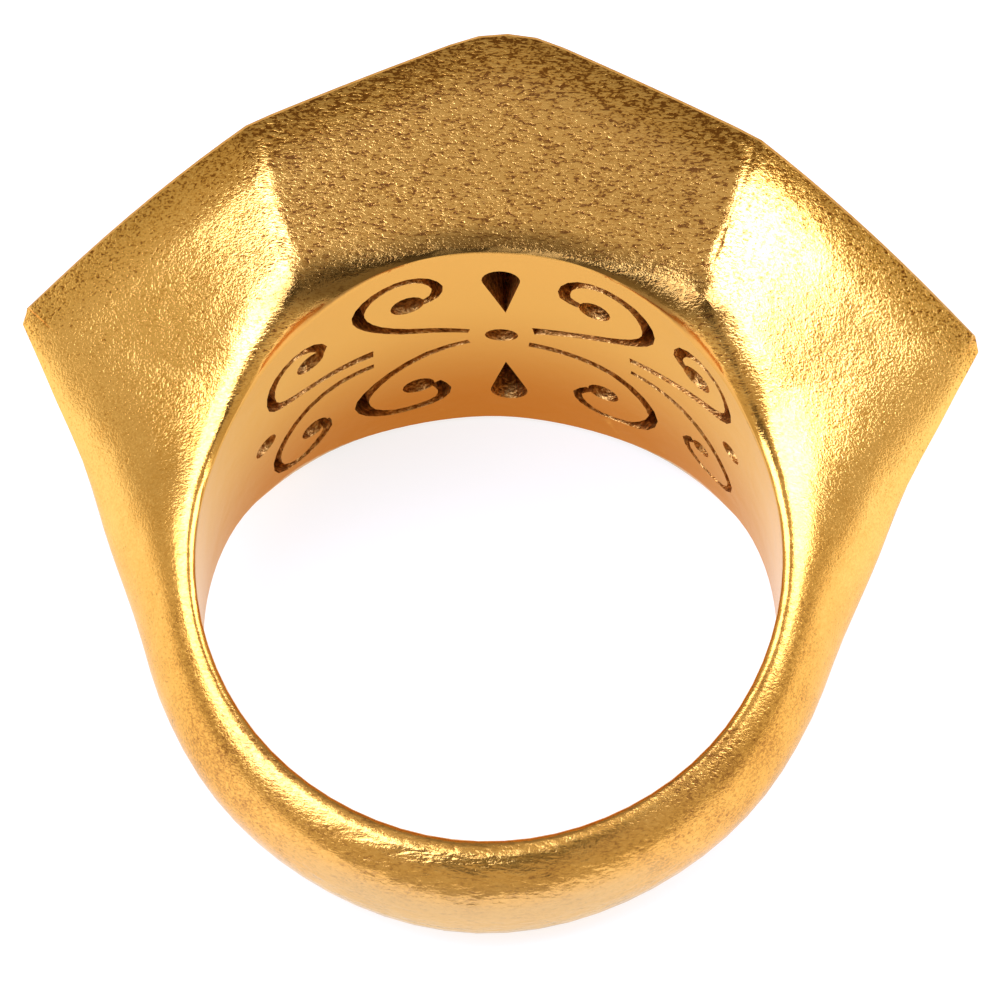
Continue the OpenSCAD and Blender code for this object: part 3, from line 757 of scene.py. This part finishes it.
mesh = bmesh.new()
mesh.faces.layers.float.new("shade")
set_block(mesh, 0, 0, SIDE_WAY, MIDDLE_BLOCK, MIDDLE_BLOCK, RED)
for i in range(PETALS):
    a = tau * i / PETALS
    around = plan_way(-sin(a), cos(a))
    outward = plan_way(cos(a), sin(a))
    set_block(mesh, BEAD_R * cos(a), BEAD_R * sin(a), around, BEAD_LENGTH, BEAD_WIDTH, AMBER)
    for row_r, half, count in PETAL_ROWS:
        for j in range(count):
            side = (2 * j + 1 - count) * half * MM / count
            x = row_r * MM * cos(a) - side * sin(a)
            y = row_r * MM * sin(a) + side * cos(a)
            in_vein = count == 3 and j == 1 and row_r < VEIN_END
            shade = (RED if in_vein else IVORY) + SHADE_SPREAD * SETTER.random()
            width = 2 * half * MM / count - JOINT
            set_block(mesh, x, y, outward, ROW_PITCH - JOINT, width, shade)
break_upper_edges(mesh)
flower = piece_of(mesh, "mosaic_flower")

petal_glass = block_glass(
    "petal_glass",
    (0.10, (0.30, 0.02, 0.015)), (0.2, (0.42, 0.03, 0.02)), (0.45, (0.62, 0.33, 0.04)),
    (0.6, (0.70, 0.42, 0.06)), (0.88, (0.78, 0.70, 0.52)), (1.0, (0.88, 0.84, 0.70)),
)
flower.data.materials.append(petal_glass.owner)
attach(flower, "root")
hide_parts("mosaic_rosette")

# Floor: a plain white table, large enough to reach past every view. It glows a little,
# as a table lit from below does, so that it stays white under the ring.
FLOOR_SIDE = 3.0
FLOOR_GLOW = 0.82

mesh = bmesh.new()
bmesh.ops.create_grid(mesh, x_segments=1, y_segments=1, size=FLOOR_SIDE / 2)
floor = piece_of(mesh, "floor")
table = Finish(bpy.data.materials.new("white_table"))
table.set(
    Base_Color=(0.25, 0.25, 0.25),
    Roughness=0.6,
    Emission_Color=(1.0, 0.98, 0.965),
    Emission_Strength=FLOOR_GLOW,
)
floor.data.materials.append(table.owner)
floor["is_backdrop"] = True

# Light: a large soft box on each side of the ring, in a dim room.
BOX_REACH = 0.45
BOX_RADIANCE = (5.5, 5.9)
BOX_COLOUR = (0.79, 0.94, 1.5)


def soft_box(name, azimuth, elevation, width, height, radiance):
    """An area light that faces the ring. Azimuth 0 is the camera's side, 90 is +X."""
    a = radians(azimuth)
    e = radians(elevation)
    way = Vector((sin(a) * cos(e), -cos(a) * cos(e), sin(e)))
    data = bpy.data.lights.new(name, "AREA")
    data.shape = "RECTANGLE"
    data.size = width
    data.size_y = height
    # a light of this radiance sends out pi times its area times the radiance
    data.energy = radiance * pi * width * height
    data.color = BOX_COLOUR
    lamp = bpy.data.objects.new(name, data)
    lamp.location = HOLE_MIDDLE + BOX_REACH * way
    lamp.rotation_euler = way.to_track_quat("Z", "Y").to_euler()
    bpy.context.scene.collection.objects.link(lamp)


soft_box("left_box", -72.5, 55.5, 0.36, 0.41, BOX_RADIANCE[0])
soft_box("right_box", 98, 46.0, 0.24, 0.32, BOX_RADIANCE[1])

# Room: bright near the table, dim overhead and behind the ring, and darkest where the
# lens looks down on it.
ROOM_SHADES = (
    (0.0, (0.55, 0.53, 0.49)), (0.30, (0.60, 0.58, 0.54)),
    (0.70, (0.54, 0.52, 0.53)), (0.97, (0.55, 0.53, 0.54)),
)
# direction, cosines at which the dimming starts and is full, and the share left there
DIM_WAYS = (
    ((0, 1, 0), 0.2, 0.85, 0.5),
    ((0, -cos(radians(60)), sin(radians(60))), 0.93, 0.985, 0.27),
)
room = Finish(bpy.data.worlds.new("room"), "Background", "Generated")
room_height = room.node("SeparateXYZ", {0: room.place}).outputs["Z"]
room_light = 1.0
for way, start, full, left in DIM_WAYS:
    facing = room.node("VectorMath", {0: room.place, 1: way}, operation="DOT_PRODUCT").outputs["Value"]
    room_light = room.times(room_light, room.fade(facing, start, full, 1.0, left))
room.set(Color=room.ramp(room_height, *ROOM_SHADES), Strength=room_light)
bpy.context.scene.world = room.owner
bpy.context.scene.view_settings.view_transform = "Standard"

size = {
    "cad": [list(corner) for corner in cad_box],
    "visual": [list(corner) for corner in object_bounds()],
}
